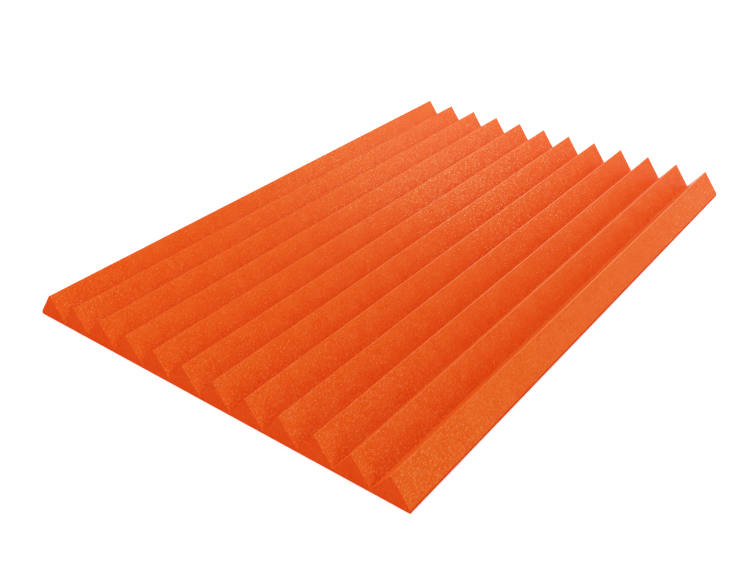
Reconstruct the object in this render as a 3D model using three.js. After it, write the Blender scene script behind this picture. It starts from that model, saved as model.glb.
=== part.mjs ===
// Wedge-profile acoustic foam panel with a peel-and-stick back, in millimetres.
// The panel lies on its back: X runs across the ridges, Y along them and Z up, away from the wall.
// The origin is the middle of the back, on the face that the panel rests on.
// From the back upwards it is a split release liner, a film of adhesive and one block of foam.
import * as THREE from "three";

// Driving sizes of the whole panel.
const panelWidth = 609.6;
const panelLength = 903;
const panelThickness = 38.1;

// Sizes of the foam block: the spacing of its ridges, twelve of which fill the width, the web left under
// the grooves, and how sharply the knife turns at a crest and at a root.
const ridgePitch = 50.8;
const webThickness = 4.5;
const crestRadius = 1;
const rootRadius = 0.6;
const arcDivisions = 6;

// Sizes of the layers laminated to the back.
const adhesiveThickness = 0.16;
const linerThickness = 0.14;
const linerSlitWidth = 0.4;

// Heights worked out from the sizes above.
const foamBottom = linerThickness + adhesiveThickness;
const rootCentreHeight = foamBottom + webThickness + rootRadius;
const crestCentreHeight = panelThickness - crestRadius;

const foamMaterial = new THREE.MeshStandardMaterial({ color: 0xe75b1d, roughness: 0.95, metalness: 0 });
const adhesiveMaterial = new THREE.MeshStandardMaterial({ color: 0xd9d2bd, roughness: 0.25, metalness: 0 });
const linerMaterial = new THREE.MeshStandardMaterial({ color: 0xf0ead9, roughness: 0.7, metalness: 0 });

// The angle at which a ridge's flanks rise from the web. A flank is the straight line that runs under the
// root's circle and over the crest's, so it is a little steeper than the line between their centres.
function flankAngle() {
  const run = ridgePitch / 2;
  const rise = crestCentreHeight - rootCentreHeight;
  const centreDistance = Math.hypot(run, rise);
  return Math.atan2(rise, run) + Math.asin((crestRadius + rootRadius) / centreDistance);
}

// Points along an arc of the section, from one angle to another.
function arcPoints(x, height, radius, from, to) {
  const clockwise = to < from;
  return new THREE.EllipseCurve(x, height, radius, radius, from, to, clockwise).getPoints(arcDivisions);
}

// The saw-tooth that the knife cuts through the slab, from left to right: rounded roots and crests by turns,
// joined by straight flanks. A root lies on the panel's middle, and the line runs past the panel's sides.
function slabCut() {
  const up = Math.PI / 2;
  const flank = flankAngle();
  const rootArc = (x) => arcPoints(x, rootCentreHeight, rootRadius, -up - flank, -up + flank);
  const crestArc = (x) => arcPoints(x, crestCentreHeight, crestRadius, up + flank, up - flank);
  const rootsEachSide = Math.ceil(panelWidth / 2 / ridgePitch);
  const line = rootArc(-rootsEachSide * ridgePitch);
  for (let root = 1 - rootsEachSide; root <= rootsEachSide; root += 1) {
    line.push(...crestArc(root * ridgePitch - ridgePitch / 2));
    line.push(...rootArc(root * ridgePitch));
  }
  return line;
}

// The place where the stretch from one point of the cut to the next crosses a side of the panel.
function crossing(from, to, side) {
  return from.clone().lerp(to, (side - from.x) / (to.x - from.x));
}

// The panel's section across the ridges: the saw-tooth, trimmed square at both sides, over the flat back.
function panelSection() {
  const side = panelWidth / 2;
  const cut = slabCut();
  const first = cut.findIndex((point) => point.x > -side);
  const last = cut.findLastIndex((point) => point.x < side);
  return new THREE.Shape([
    new THREE.Vector2(-side, foamBottom),
    crossing(cut[first - 1], cut[first], -side),
    ...cut.slice(first, last + 1),
    crossing(cut[last], cut[last + 1], side),
    new THREE.Vector2(side, foamBottom),
  ]);
}

// One block of open-cell foam, with the same section along its whole length.
function foamPanel() {
  const geometry = new THREE.ExtrudeGeometry(panelSection(), { depth: panelLength, bevelEnabled: false });
  geometry.rotateX(Math.PI / 2);
  const mesh = new THREE.Mesh(geometry, foamMaterial);
  mesh.name = "foam_panel";
  mesh.position.y = panelLength / 2;
  return mesh;
}

// The film of pressure-sensitive adhesive on the foam's whole back.
function adhesiveFilm() {
  const geometry = new THREE.BoxGeometry(panelWidth, panelLength, adhesiveThickness);
  const mesh = new THREE.Mesh(geometry, adhesiveMaterial);
  mesh.name = "adhesive_film";
  mesh.position.z = linerThickness + adhesiveThickness / 2;
  return mesh;
}

// Half of the release liner. It is slit along the panel's middle, so that each half can be picked up at the
// slit. The side is -1 for the left half and 1 for the right.
function linerHalf(name, side) {
  const width = (panelWidth - linerSlitWidth) / 2;
  const geometry = new THREE.BoxGeometry(width, panelLength, linerThickness);
  const mesh = new THREE.Mesh(geometry, linerMaterial);
  mesh.name = name;
  mesh.position.set(side * (linerSlitWidth + width) / 2, 0, linerThickness / 2);
  return mesh;
}

const panel = new THREE.Group();
panel.add(foamPanel());
panel.add(adhesiveFilm());
panel.add(linerHalf("release_liner_left", -1));
panel.add(linerHalf("release_liner_right", 1));

export default panel;
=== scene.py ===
"""A wedge-profile acoustic foam panel, lying on its self-adhesive back in a plain pale studio.

The sections follow the panel from its back upwards: the slit release liner, the film of adhesive, and the
block of orange foam that a contour knife has cut into twelve straight ridges. The studio comes last.
"""
import math

import bpy
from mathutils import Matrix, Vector


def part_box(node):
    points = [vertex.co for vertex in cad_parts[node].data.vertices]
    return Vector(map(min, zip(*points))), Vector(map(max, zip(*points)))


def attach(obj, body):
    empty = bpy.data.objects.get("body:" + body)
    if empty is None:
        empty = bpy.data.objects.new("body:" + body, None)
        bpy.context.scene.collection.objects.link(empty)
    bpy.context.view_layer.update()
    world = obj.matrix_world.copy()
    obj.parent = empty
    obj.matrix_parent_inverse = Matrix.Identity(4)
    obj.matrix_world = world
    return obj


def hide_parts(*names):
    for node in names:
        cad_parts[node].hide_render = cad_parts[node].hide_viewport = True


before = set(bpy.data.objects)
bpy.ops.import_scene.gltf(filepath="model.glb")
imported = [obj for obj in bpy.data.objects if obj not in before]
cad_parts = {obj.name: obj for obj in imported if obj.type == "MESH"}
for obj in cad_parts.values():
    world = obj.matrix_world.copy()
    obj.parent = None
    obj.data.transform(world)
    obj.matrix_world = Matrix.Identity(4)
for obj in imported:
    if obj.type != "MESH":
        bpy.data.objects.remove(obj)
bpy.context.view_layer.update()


# Release liner
# Two halves of silicone-coated paper that cover the adhesive until the panel is put up. The sheet is slit
# once along its middle, so that each half can be picked up there and peeled off by itself.
MM = 0.001
PAPER_CREAM = (0.84, 0.79, 0.68)
PAPER_DEEP = (0.79, 0.735, 0.62)
PAPER_LIGHT = (0.87, 0.825, 0.72)
PAPER_CLOUD = (0.83, 0.765, 0.64)
SLICK_PAPER, PLAIN_PAPER, DRY_PAPER = 0.36, 0.42, 0.5
FIBRE_SIZE = 0.7 * MM
FIBRE_RUN = (1.0, 0.25, 1.0)
FIBRE_HEIGHT = 0.02
CLOUD_SIZE = 14 * MM
CLOUD_SHARE = 0.35
COCKLE_SIZE = 60 * MM
COCKLE_RUN = (1.0, 0.4, 1.0)
COCKLE_HEIGHT = 1.5

# Soft noise lies mostly between these values. Clouds show only in its upper part.
NOISE_RANGE = (0.3, 0.7)
CLOUD_RANGE = (0.35, 0.7)


def new_material(name, base_color, roughness):
    """A material, its node tree and its Principled shader, of this colour and roughness.

    They hold wherever no pattern is linked in their place.
    """
    material = bpy.data.materials.new(name)
    material.use_nodes = True
    shader = material.node_tree.nodes["Principled BSDF"]
    shader.inputs["Base Color"].default_value = (*base_color, 1)
    shader.inputs["Roughness"].default_value = roughness
    return material, material.node_tree, shader


def add_node(tree, kind, inputs=(), **settings):
    """A new node. Its settings come first, then a value or a link for each input, by name or number."""
    node = tree.nodes.new(kind)
    for name, value in settings.items():
        setattr(node, name, value)
    for key, value in dict(inputs).items():
        if isinstance(value, bpy.types.NodeSocket):
            tree.links.new(value, node.inputs[key])
        else:
            node.inputs[key].default_value = value
    return node


def object_place(tree):
    """The place on the piece, in metres, that a pattern follows."""
    return add_node(tree, "ShaderNodeTexCoord").outputs["Object"]


def stretched_place(tree, stretch):
    """The place on the piece, drawn out differently along each axis."""
    mapping = add_node(tree, "ShaderNodeMapping", {"Vector": object_place(tree), "Scale": stretch})
    return mapping.outputs["Vector"]


def noise(tree, place, size, detail=2.0, roughness=0.5):
    """Soft noise from 0 to 1 whose blobs have about this size in metres."""
    inputs = {"Vector": place, "Scale": 1 / size, "Detail": detail, "Roughness": roughness}
    return add_node(tree, "ShaderNodeTexNoise", inputs).outputs["Fac"]


def ramp(tree, value, low, high, to_low=0.0, to_high=1.0):
    """The value's range from low to high, turned smoothly into one from to_low to to_high."""
    inputs = {"Value": value, "From Min": low, "From Max": high, "To Min": to_low, "To Max": to_high}
    return add_node(tree, "ShaderNodeMapRange", inputs, interpolation_type="SMOOTHSTEP").outputs["Result"]


def mix_colors(tree, factor, first, second):
    """One colour at factor 0 and the other at factor 1; each is a socket or three numbers."""
    node = add_node(tree, "ShaderNodeMix", {0: factor}, data_type="RGBA")
    for socket, color in ((node.inputs[6], first), (node.inputs[7], second)):
        if isinstance(color, bpy.types.NodeSocket):
            tree.links.new(color, socket)
        else:
            socket.default_value = (*color, 1)
    return node.outputs[2]


def math_node(tree, operation, first, second=0.0):
    """Simple arithmetic on sockets and numbers."""
    return add_node(tree, "ShaderNodeMath", {0: first, 1: second}, operation=operation).outputs[0]


def weighted_sum(tree, first, first_weight, second, second_weight):
    """Two values added in these shares."""
    weighed = math_node(tree, "MULTIPLY", first, first_weight)
    return math_node(tree, "ADD", weighed, math_node(tree, "MULTIPLY", second, second_weight))


def add_bump(tree, shader, height, distance):
    """Bump from a height of 0 to 1 over this distance in metres."""
    node = add_node(tree, "ShaderNodeBump", {"Height": height, "Distance": distance, "Strength": 1.0})
    tree.links.new(node.outputs["Normal"], shader.inputs["Normal"])


def release_paper_material():
    """Cream paper: faint fibres along the web, cloudy formation, a slight cockle and a silicone coat."""
    material, tree, shader = new_material("release_paper", PAPER_CREAM, PLAIN_PAPER)
    fibres = noise(tree, stretched_place(tree, FIBRE_RUN), FIBRE_SIZE, detail=4.0, roughness=0.65)
    clouds = noise(tree, object_place(tree), CLOUD_SIZE, detail=3.0)
    cockle = noise(tree, stretched_place(tree, COCKLE_RUN), COCKLE_SIZE, detail=1.0)
    paper = mix_colors(tree, ramp(tree, fibres, *NOISE_RANGE), PAPER_DEEP, PAPER_LIGHT)
    color = mix_colors(tree, ramp(tree, clouds, *CLOUD_RANGE, 0.0, CLOUD_SHARE), paper, PAPER_CLOUD)
    tree.links.new(color, shader.inputs["Base Color"])
    tree.links.new(ramp(tree, clouds, *NOISE_RANGE, SLICK_PAPER, DRY_PAPER), shader.inputs["Roughness"])
    add_bump(tree, shader, weighted_sum(tree, fibres, FIBRE_HEIGHT, cockle, COCKLE_HEIGHT), MM)
    return material


def give_material(node_name, material):
    """Puts a finish on a CAD node whose shape stays as it is."""
    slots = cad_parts[node_name].data.materials
    slots.clear()
    slots.append(material)


release_paper = release_paper_material()
give_material("release_liner_left", release_paper)
give_material("release_liner_right", release_paper)


# Adhesive film
# Pressure-sensitive acrylic adhesive, laminated to the foam's whole back. It is the glossy straw-coloured
# line in the liner's slit, with the faint orange peel of a coating that was laid down wet.
ADHESIVE_STRAW = (0.69, 0.64, 0.5)
ADHESIVE_DEEP = (0.66, 0.6, 0.45)
ADHESIVE_LIGHT = (0.73, 0.69, 0.56)
GLOSSY_ADHESIVE, PLAIN_ADHESIVE, HAZY_ADHESIVE = 0.2, 0.25, 0.32
PEEL_SIZE = 2.5 * MM
PEEL_DEPTH = 0.03 * MM
HAZE_SIZE = 11 * MM


def adhesive_material():
    """Tacky, glossy, straw-coloured film with an orange-peel surface."""
    material, tree, shader = new_material("adhesive", ADHESIVE_STRAW, PLAIN_ADHESIVE)
    peel = noise(tree, object_place(tree), PEEL_SIZE)
    haze = noise(tree, object_place(tree), HAZE_SIZE, detail=3.0)
    color = mix_colors(tree, ramp(tree, haze, *NOISE_RANGE), ADHESIVE_DEEP, ADHESIVE_LIGHT)
    gloss = ramp(tree, haze, *NOISE_RANGE, GLOSSY_ADHESIVE, HAZY_ADHESIVE)
    tree.links.new(color, shader.inputs["Base Color"])
    tree.links.new(gloss, shader.inputs["Roughness"])
    add_bump(tree, shader, peel, PEEL_DEPTH)
    return material


give_material("adhesive_film", adhesive_material())


# Foam block
# Open-cell polyurethane foam, slit from a slab and cut by a contour knife into twelve straight ridges on a
# thin web. Crests and roots are as sharp as the knife turns, and both ends are sawn square.
foam_low, foam_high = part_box("foam_panel")
RIDGE_COUNT = 12
WEB_TOP = 4.8 * MM
CREST_RADIUS = 1.0 * MM
ROOT_RADIUS = 0.6 * MM
SIDE_EDGE_RADIUS = 0.5 * MM
TURN_POINTS = 6
FLANK_CUTS = 5
ROW_SPACING = 6.5 * MM

# The knife wanders by this much at a crest, less down the flank, and not at all by the web.
WANDER = 0.22 * MM
WANDER_LENGTH = 70 * MM
STEADY_HEIGHT = 6 * MM
FREE_HEIGHT = 30 * MM
WANDER_SEED = 3

# A cut flank is made of pits and lumps, some of them paler. Sawn ends and sides are closer, and are painted
# a darker, deeper orange that stands in partly for the shade that falls on them.
FLANK_ORANGE = (0.825, 0.081, 0.006)
FLANK_LIGHT_ORANGE = (0.88, 0.224, 0.037)
SAWN_SHADED_ORANGE = (0.776, 0.061, 0.006)
SAWN_SHADED_LIGHT_ORANGE = (0.806, 0.119, 0.018)
CELL_SIZE = 0.85 * MM
CELL_SHARE = 0.3
CELL_HEIGHT = 1.0
LUMP_SIZE = 2.0 * MM
LUMP_SHARE = 0.7
LUMP_HEIGHT = 0.9
LUMP_RANGE = (0.32, 0.68)
CRUMB_RANGE = (0.46, 0.72)
MOTTLE_SIZE = 22 * MM
MOTTLE_SHARE = 0.15
MOTTLE_RANGE = (0.35, 0.65)
BUMP_DEPTH = 0.045 * MM
SMOOTH_LUMPS, PLAIN_FOAM, ROUGH_PITS = 0.26, 0.4, 0.42
FLANK_GLOSS = 0.085
GLOSS_TINT = (0.53, 1.0, 0.1)
FLANK_FUZZ = 0.15
FUZZ_TINT = (0.945, 0.36, 0.0)
FUZZ_ROUGHNESS = 0.73

# Cell windows are painted as pale glints, a painted highlight. Each patch has its middle, its reach in
# metres, and how much it adds at its middle to the share of glinting cells and to how brightly they shine.
PAINTED_GLINT_COLOR = (0.88, 0.97, 0.5)
WINDOW_SPACING = 2.2 * MM
WINDOW_RIM = (0.14, 0.44)
DULLEST_WINDOW = 0.2
LEAST_WINDOWS = 0.05
LEAST_SHINE = 0.27
PAINTED_GLINT_PATCHES = (
    ((0.01, 0.17, 0.02), 0.3, 0.42, 0.8),
    ((-0.07, 0.41, 0.02), 0.27, 0.32, 0.62),
    ((-0.28, 0.14, 0.02), 0.33, 0.4, 0.34),
    ((-0.3, -0.44, 0.02), 0.18, 0.28, 0.0),
    ((0.2, -0.46, 0.02), 0.33, 0.5, 0.0),
    ((0.37, 0.36, 0.0), 0.24, 0.42, 0.4),
)

# A pale highlight is painted along the crests, strongest around one place.
CREST_HIGHLIGHT_ORANGE = (0.86, 0.22, 0.085)
CREST_HIGHLIGHT_BAND = 0.8 * MM
CREST_HIGHLIGHT_PLACE = (0.26, 0.15, 0.035)
CREST_HIGHLIGHT_REACH = (0.12, 0.52)
BRIGHTEST_CREST_HIGHLIGHT, FAINTEST_CREST_HIGHLIGHT = 0.85, 0.06


def distance_from(tree, place, centre):
    """How far a place on the piece is from a point, in metres."""
    node = add_node(tree, "ShaderNodeVectorMath", {0: place, 1: centre}, operation="DISTANCE")
    return node.outputs["Value"]


def painted_window_glints(tree, place):
    """How brightly a painted cell-window glint shows here, from 0 to 1. Glints are many in the painted
    patches.
    """
    share, shine = LEAST_WINDOWS, LEAST_SHINE
    for centre, reach, more_windows, more_shine in PAINTED_GLINT_PATCHES:
        away = distance_from(tree, place, centre)
        share = math_node(tree, "ADD", ramp(tree, away, 0.0, reach, more_windows, 0.0), share)
        shine = math_node(tree, "ADD", ramp(tree, away, 0.0, reach, more_shine, 0.0), shine)
    windows = add_node(tree, "ShaderNodeTexVoronoi", {"Vector": place, "Scale": 1 / WINDOW_SPACING})
    pick = add_node(tree, "ShaderNodeSeparateColor", {"Color": windows.outputs["Color"]}).outputs
    chosen = math_node(tree, "LESS_THAN", pick["Red"], share)
    spot = ramp(tree, windows.outputs["Distance"], *WINDOW_RIM, 1.0, 0.0)
    bright = math_node(tree, "MULTIPLY", ramp(tree, pick["Green"], 0.0, 1.0, DULLEST_WINDOW, 1.0), shine)
    return math_node(tree, "MULTIPLY", math_node(tree, "MULTIPLY", chosen, spot), bright)


def painted_crest_highlight(tree, place):
    """How strongly the painted crest highlight shows here, from 0 to 1."""
    level = add_node(tree, "ShaderNodeSeparateXYZ", {0: place}).outputs["Z"]
    crest = ramp(tree, level, foam_high.z - CREST_HIGHLIGHT_BAND, foam_high.z - CREST_HIGHLIGHT_BAND / 3)
    away = distance_from(tree, place, CREST_HIGHLIGHT_PLACE)
    highlight_share = ramp(tree, away, *CREST_HIGHLIGHT_REACH, BRIGHTEST_CREST_HIGHLIGHT, FAINTEST_CREST_HIGHLIGHT)
    return math_node(tree, "MULTIPLY", crest, highlight_share)


def foam_material(name, deep, light, gloss=0.0, fuzz=0.0, with_painted_highlights=False):
    """Fine cells and faint mottling and, on the cut flanks, painted cell-window glints and a painted crest
    highlight.
    """
    material, tree, shader = new_material(name, deep, PLAIN_FOAM)
    place = object_place(tree)
    cells = noise(tree, place, CELL_SIZE, detail=1.0)
    lumps = noise(tree, place, LUMP_SIZE, detail=1.0)
    mottle = noise(tree, place, MOTTLE_SIZE, detail=3.0)
    crumbs = weighted_sum(tree, cells, CELL_SHARE, lumps, LUMP_SHARE)
    color = mix_colors(tree, ramp(tree, crumbs, *CRUMB_RANGE), deep, light)
    color = mix_colors(tree, ramp(tree, mottle, *MOTTLE_RANGE, 0.0, MOTTLE_SHARE), color, light)
    if with_painted_highlights:
        # Painted glints of the cell windows, a painted highlight.
        color = mix_colors(tree, painted_window_glints(tree, place), color, PAINTED_GLINT_COLOR)
        # A pale highlight painted along the crests.
        color = mix_colors(tree, painted_crest_highlight(tree, place), color, CREST_HIGHLIGHT_ORANGE)
    tree.links.new(color, shader.inputs["Base Color"])
    tree.links.new(ramp(tree, lumps, *LUMP_RANGE, ROUGH_PITS, SMOOTH_LUMPS), shader.inputs["Roughness"])
    shader.inputs["Specular IOR Level"].default_value = gloss
    shader.inputs["Specular Tint"].default_value = (*GLOSS_TINT, 1)
    shader.inputs["Sheen Weight"].default_value = fuzz
    shader.inputs["Sheen Roughness"].default_value = FUZZ_ROUGHNESS
    shader.inputs["Sheen Tint"].default_value = (*FUZZ_TINT, 1)
    add_bump(tree, shader, weighted_sum(tree, lumps, LUMP_HEIGHT, cells, CELL_HEIGHT), BUMP_DEPTH)
    return material


def wedge_foam_tree():
    """Geometry nodes that draw the panel's section, round its turns and sweep it along the panel."""
    tree = bpy.data.node_groups.new("wedge_foam", "GeometryNodeTree")
    tree.interface.new_socket("Geometry", in_out="OUTPUT", socket_type="NodeSocketGeometry")
    named_inputs = {
        "NodeSocketFloat": ("Width", "Length", "Thickness", "Web Top", "Web Bottom", "Crest Radius",
                            "Root Radius", "Side Edge Radius", "Row Spacing", "Wander", "Wander Length",
                            "Steady Height", "Free Height"),
        "NodeSocketInt": ("Ridges", "Turn Points", "Flank Cuts", "Seed"),
        "NodeSocketMaterial": ("Flank Finish", "End Finish"),
    }
    for kind, names in named_inputs.items():
        for name in names:
            tree.interface.new_socket(name, in_out="INPUT", socket_type=kind)
    sizes = add_node(tree, "NodeGroupInput").outputs
    speck = 0.001 * MM
    nearly_square = 0.9

    def calc(operation, first, second=0.0):
        return math_node(tree, operation, first, second)

    def compare(operation, first, second):
        inputs = {0: first, 1: second}
        return add_node(tree, "FunctionNodeCompare", inputs, operation=operation).outputs[0]

    def choose(test, if_false, if_true):
        inputs = {0: test, 1: if_false, 2: if_true}
        return add_node(tree, "GeometryNodeSwitch", inputs, input_type="FLOAT").outputs[0]

    def vector(x=0.0, y=0.0, z=0.0):
        return add_node(tree, "ShaderNodeCombineXYZ", {0: x, 1: y, 2: z}).outputs[0]

    def parts_of(value):
        return add_node(tree, "ShaderNodeSeparateXYZ", {0: value}).outputs

    # The flank rises from the root's arc to the crest's, under one circle and over the other.
    half_width = calc("MULTIPLY", sizes["Width"], 0.5)
    run = calc("DIVIDE", half_width, sizes["Ridges"])
    radii = calc("ADD", sizes["Crest Radius"], sizes["Root Radius"])
    rise = calc("SUBTRACT", calc("SUBTRACT", sizes["Thickness"], sizes["Web Top"]), radii)
    reach = calc("SQRT", calc("ADD", calc("MULTIPLY", run, run), calc("MULTIPLY", rise, rise)))
    flank = calc("ADD", calc("ARCTAN2", rise, run), calc("ARCSINE", calc("DIVIDE", radii, reach)))
    spare = calc("SUBTRACT", calc("DIVIDE", 1.0, calc("COSINE", flank)), 1.0)
    sharp_crest = calc("ADD", sizes["Thickness"], calc("MULTIPLY", sizes["Crest Radius"], spare))
    sharp_root = calc("SUBTRACT", sizes["Web Top"], calc("MULTIPLY", sizes["Root Radius"], spare))

    # Corners of the section: the back's left corner, root and crest by turns, the back's right corner.
    last_root = calc("ADD", calc("MULTIPLY", sizes["Ridges"], 2.0), 1.0)
    corner_count = calc("ADD", last_root, 2.0)
    line = add_node(tree, "GeometryNodeMeshLine", {"Count": corner_count, "Offset": (1.0, 0.0, 0.0)})
    corner = add_node(tree, "GeometryNodeInputIndex").outputs[0]
    steps = add_node(tree, "ShaderNodeClamp", {0: corner, 1: 1.0, 2: last_root}).outputs[0]
    corner_x = calc("SUBTRACT", calc("MULTIPLY", calc("SUBTRACT", steps, 1.0), run), half_width)
    on_crest = compare("LESS_THAN", calc("MODULO", corner, 2.0), 0.5)
    at_side = compare("GREATER_THAN", calc("ABSOLUTE", corner_x), calc("SUBTRACT", half_width, speck))
    on_back = compare("NOT_EQUAL", corner, steps)
    root_height = choose(at_side, sharp_root, sizes["Web Top"])
    corner_height = choose(on_back, choose(on_crest, root_height, sharp_crest), sizes["Web Bottom"])
    inner_radius = choose(on_crest, sizes["Root Radius"], sizes["Crest Radius"])
    side_radius = choose(on_back, sizes["Side Edge Radius"], 0.0)
    turn_radius = choose(at_side, inner_radius, side_radius)
    place = vector(corner_x, calc("MULTIPLY", corner_height, -1.0))
    drawn = add_node(tree, "GeometryNodeSetPosition", {"Geometry": line.outputs[0], "Position": place})
    kept = add_node(tree, "GeometryNodeStoreNamedAttribute",
                    {"Geometry": drawn.outputs[0], "Name": "turn_radius", "Value": turn_radius},
                    data_type="FLOAT", domain="POINT")
    curve = add_node(tree, "GeometryNodeMeshToCurve", {0: kept.outputs[0]})
    closed = add_node(tree, "GeometryNodeSetSplineCyclic", {0: curve.outputs[0], "Cyclic": True})

    # The flanks are divided, and only the corners between them are rounded.
    divided = add_node(tree, "GeometryNodeSubdivideCurve",
                       {0: closed.outputs[0], "Cuts": sizes["Flank Cuts"]})
    stride = calc("ADD", sizes["Flank Cuts"], 1.0)
    is_corner = compare("LESS_THAN", calc("MODULO", corner, stride), 0.5)
    radius = add_node(tree, "GeometryNodeInputNamedAttribute", {"Name": "turn_radius"}, data_type="FLOAT")
    turns = compare("GREATER_THAN", calc("MULTIPLY", radius.outputs[0], is_corner), speck)
    rounded = add_node(tree, "GeometryNodeFilletCurve",
                       {0: divided.outputs[0], "Count": calc("MULTIPLY", turns, sizes["Turn Points"]),
                        "Radius": calc("MULTIPLY", radius.outputs[0], turns), "Limit Radius": True},
                       mode="POLY")

    # The section is swept along the panel, in rows close enough for the knife's slight wander.
    half_length = calc("MULTIPLY", sizes["Length"], 0.5)
    start = vector(0.0, calc("MULTIPLY", half_length, -1.0))
    path = add_node(tree, "GeometryNodeCurvePrimitiveLine", {"Start": start, "End": vector(0.0, half_length)})
    row_count = calc("CEIL", calc("DIVIDE", sizes["Length"], sizes["Row Spacing"]))
    rows = add_node(tree, "GeometryNodeResampleCurve", {0: path.outputs[0], "Count": row_count})
    swept = add_node(tree, "GeometryNodeCurveToMesh",
                     {"Curve": rows.outputs[0], "Profile Curve": rounded.outputs[0], "Fill Caps": True})

    position = add_node(tree, "GeometryNodeInputPosition").outputs[0]
    depth_share = ramp(tree, parts_of(position)["Z"], sizes["Steady Height"], sizes["Free Height"])
    moved = add_node(tree, "ShaderNodeVectorMath", {0: position, 1: vector(sizes["Seed"])}, operation="ADD")
    wave = add_node(tree, "ShaderNodeTexNoise",
                    {"Vector": moved.outputs[0], "Scale": calc("DIVIDE", 1.0, sizes["Wander Length"]),
                     "Detail": 2.0, "Roughness": 0.5})
    drop = calc("MULTIPLY", calc("MULTIPLY", wave.outputs["Fac"], sizes["Wander"]), depth_share)
    offset = vector(0.0, 0.0, calc("MULTIPLY", drop, -1.0))
    wandered = add_node(tree, "GeometryNodeSetPosition", {"Geometry": swept.outputs[0], "Offset": offset})

    # The faces that stand square to the panel's length or width are the sawn ones. Their finish is darker,
    # partly as painted shade.
    facing = parts_of(add_node(tree, "GeometryNodeInputNormal").outputs[0])
    along = calc("ABSOLUTE", facing["Y"])
    at_end = compare("GREATER_THAN", along, nearly_square)
    sawn = compare("GREATER_THAN", calc("MAXIMUM", along, calc("ABSOLUTE", facing["X"])), nearly_square)
    smooth = add_node(tree, "GeometryNodeSetShadeSmooth",
                      {0: wandered.outputs[0], "Shade Smooth": compare("LESS_THAN", at_end, 0.5)})
    realized = add_node(tree, "GeometryNodeRealizeInstances", {0: smooth.outputs[0]})
    flanks = add_node(tree, "GeometryNodeSetMaterial",
                      {0: realized.outputs[0], "Material": sizes["Flank Finish"]})
    ends = add_node(tree, "GeometryNodeSetMaterial",
                    {0: flanks.outputs[0], "Selection": sawn, "Material": sizes["End Finish"]})
    add_node(tree, "NodeGroupOutput", {0: ends.outputs[0]})
    return tree


def grown_piece(name, tree, values):
    """A plain mesh piece, at the origin, of what a geometry tree makes from these values of its inputs."""
    piece = bpy.data.objects.new(name, bpy.data.meshes.new(name))
    bpy.context.scene.collection.objects.link(piece)
    modifier = piece.modifiers.new(name, "NODES")
    modifier.node_group = tree
    for socket in tree.interface.items_tree:
        if socket.in_out == "INPUT":
            modifier[socket.identifier] = values[socket.name]
    shaped = piece.evaluated_get(bpy.context.evaluated_depsgraph_get())
    mesh = bpy.data.meshes.new_from_object(shaped)
    piece.modifiers.clear()
    piece.data = mesh
    mesh.name = name
    return piece


foam_flank = foam_material("foam_cut_flank", FLANK_ORANGE, FLANK_LIGHT_ORANGE, FLANK_GLOSS, FLANK_FUZZ, True)
# The sawn ends and sides: a darker orange, partly painted shade.
foam_sawn_shaded = foam_material("foam_sawn_end_shaded", SAWN_SHADED_ORANGE, SAWN_SHADED_LIGHT_ORANGE)
wedge_foam = grown_piece("wedge_foam", wedge_foam_tree(), {
    "Width": foam_high.x - foam_low.x,
    "Length": foam_high.y - foam_low.y,
    "Thickness": foam_high.z,
    "Web Top": WEB_TOP,
    "Web Bottom": foam_low.z,
    "Crest Radius": CREST_RADIUS,
    "Root Radius": ROOT_RADIUS,
    "Side Edge Radius": SIDE_EDGE_RADIUS,
    "Row Spacing": ROW_SPACING,
    "Wander": WANDER,
    "Wander Length": WANDER_LENGTH,
    "Steady Height": STEADY_HEIGHT,
    "Free Height": FREE_HEIGHT,
    "Ridges": RIDGE_COUNT,
    "Turn Points": TURN_POINTS,
    "Flank Cuts": FLANK_CUTS,
    "Seed": WANDER_SEED,
    "Flank Finish": foam_flank,
    "End Finish": foam_sawn_shaded,
})
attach(wedge_foam, "root")
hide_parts("foam_panel")


# Studio floor
# A wide sweep of matt white board that takes the panel's shadow and that the camera sees as paper white. It
# is open under the panel, whose edges rest on it, so that the back can be looked at from below.
FLOOR_SIZE = 12.0
FLOOR_DROP = 0.05 * MM
REST_WIDTH = 5 * MM
BOARD_WHITE = (0.88, 0.88, 0.88)
BOARD_ROUGHNESS = 0.9
NEAR_LIFT, FAR_LIFT = 0.4, 0.55
LIFT_REACH = (0.7, 2.8)


def seen_ray(tree):
    """1 for what the camera sees, directly, in a gloss or through glass, and 0 for what lights a surface."""
    paths = add_node(tree, "ShaderNodeLightPath").outputs
    direct = math_node(tree, "MAXIMUM", paths["Is Camera Ray"], paths["Is Transmission Ray"])
    return math_node(tree, "MAXIMUM", direct, paths["Is Glossy Ray"])


def floor_material():
    """White board that the camera sees as nearly pure white, with the panel's soft shadow on it."""
    material, tree, shader = new_material("white_board", BOARD_WHITE, BOARD_ROUGHNESS)
    away = distance_from(tree, object_place(tree), (0.0, 0.0, 0.0))
    lift = ramp(tree, away, *LIFT_REACH, NEAR_LIFT, FAR_LIFT)
    shader.inputs["Emission Color"].default_value = (1, 1, 1, 1)
    tree.links.new(math_node(tree, "MULTIPLY", seen_ray(tree), lift), shader.inputs["Emission Strength"])
    return material


def rectangle(half_width, half_length, height):
    """The four corners of a level rectangle around the panel's middle, anticlockwise."""
    turns = ((-1, -1), (1, -1), (1, 1), (-1, 1))
    return [(x * half_width, y * half_length, height) for x, y in turns]


floor_corners = rectangle(FLOOR_SIZE / 2, FLOOR_SIZE / 2, -FLOOR_DROP)
floor_corners += rectangle(foam_high.x - REST_WIDTH, foam_high.y - REST_WIDTH, -FLOOR_DROP)
floor_faces = [(i, (i + 1) % 4, (i + 1) % 4 + 4, i + 4) for i in range(4)]
floor_mesh = bpy.data.meshes.new("studio_floor")
floor_mesh.from_pydata(floor_corners, [], floor_faces)
floor_mesh.materials.append(floor_material())
studio_floor = bpy.data.objects.new("studio_floor", floor_mesh)
bpy.context.scene.collection.objects.link(studio_floor)


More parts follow.
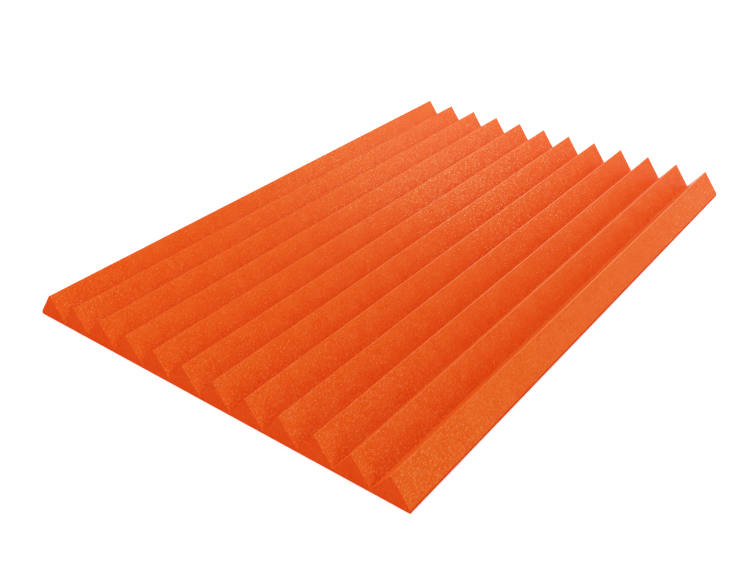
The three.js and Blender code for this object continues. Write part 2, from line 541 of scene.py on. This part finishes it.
# Studio light
# The even light of a white room, a small strong softbox behind the panel that skims along its flanks, and
# three wide ones that fill the shadows: a weak one behind on the left and two in front.
LAMP_DISTANCE = 2.6
SMALL_BOX = 0.9
WIDE_BOX = 1.3
ROOM_LIGHT = 0.52


def softbox(name, azimuth, elevation, size, power):
    """A square area light that faces the panel's middle, at these angles in degrees from +X and the floor."""
    light = bpy.data.lights.new(name, "AREA")
    light.shape = "RECTANGLE"
    light.size = light.size_y = size
    light.energy = power
    lamp = bpy.data.objects.new(name, light)
    bpy.context.scene.collection.objects.link(lamp)
    turn, lift = math.radians(azimuth), math.radians(elevation)
    away = Vector((math.cos(turn) * math.cos(lift), math.sin(turn) * math.cos(lift), math.sin(lift)))
    lamp.location = away * LAMP_DISTANCE
    lamp.rotation_euler = (-away).to_track_quat("-Z", "Y").to_euler()


softbox("back_softbox", 65.6, 28.4, SMALL_BOX, 24.2)
softbox("back_left_fill", 132, 36, WIDE_BOX, 8.0)
softbox("front_right_fill", -35, 20, WIDE_BOX, 9.0)
softbox("front_left_fill", -112, 46, WIDE_BOX, 21.4)

white_room = bpy.data.worlds.new("white_room")
white_room.use_nodes = True
bpy.context.scene.world = white_room
room_tree = white_room.node_tree
room_shader = room_tree.nodes["Background"]
room_shader.inputs["Color"].default_value = (1, 1, 1, 1)
room_strength = ramp(room_tree, seen_ray(room_tree), 0.0, 1.0, ROOM_LIGHT, 1.0)
room_tree.links.new(room_strength, room_shader.inputs["Strength"])


# Camera
# Above the floor in front of the panel's right corner, looking down on its middle, with the lens of a
# 45 degree view.
CAMERA_PLACE = (0.67043, -0.99844, 0.68732)
CAMERA_AIM = (0.00622, -0.11317, 0.0)
VIEW_ANGLE = math.radians(45)
SENSOR_WIDTH = 36.0

camera = bpy.data.objects.new("camera", bpy.data.cameras.new("camera"))
bpy.context.scene.collection.objects.link(camera)
camera.data.sensor_width = SENSOR_WIDTH
camera.data.lens = SENSOR_WIDTH / 2 / math.tan(VIEW_ANGLE / 2)
camera.location = CAMERA_PLACE
camera.rotation_euler = (Vector(CAMERA_AIM) - Vector(CAMERA_PLACE)).to_track_quat("-Z", "Y").to_euler()
bpy.context.scene.camera = camera
bpy.context.scene.view_settings.view_transform = "Standard"
